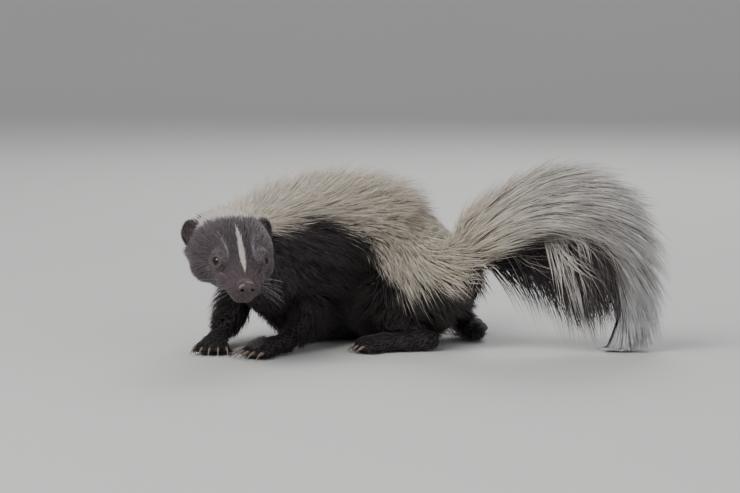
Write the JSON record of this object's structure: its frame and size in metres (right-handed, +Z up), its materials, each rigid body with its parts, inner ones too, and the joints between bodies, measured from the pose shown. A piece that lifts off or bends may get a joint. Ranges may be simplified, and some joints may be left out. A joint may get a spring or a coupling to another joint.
{
  "type": "striped skunk, life-size still model",
  "caption": "Life-size still model of a striped skunk lying curled on its belly, head turned out of the curl and the plumed tail arched over to the ground.",
  "frame": {"origin": "on the ground under the middle of the belly", "axes": "+Z up, the curl of the body opens towards -Y, the head is at -X and the tail sweeps out to +X"},
  "size_m": [0.3475, 0.2396, 0.1393],
  "materials": {
    "black_fur": "long soft black guard hair with a faint brown sheen",
    "white_fur": "long cream-white guard hair, cooler at the tips",
    "eye": "wet gloss, near black",
    "nose_skin": "bare pebbled skin, dark brown with a pink cast, slightly damp",
    "claw": "horn, pale brown, semi-gloss"
  },
  "bodies": {
    "root": {"head": "black_fur", "nose": "nose_skin", "eye_left": "eye", "eye_right": "eye", "ear_left": "black_fur", "ear_right": "black_fur", "neck": "white_fur", "chest": "white_fur", "rump": "white_fur", "foreleg_left": "black_fur", "foreleg_right": "black_fur", "hindleg_left": "black_fur", "hindleg_right": "black_fur", "forefoot_left": "black_fur", "forefoot_right": "black_fur", "hindfoot_left": "black_fur", "hindfoot_right": "black_fur", "tail_base": "white_fur", "tail_middle": "white_fur", "tail_end": "white_fur"}
  },
  "joints": []
}
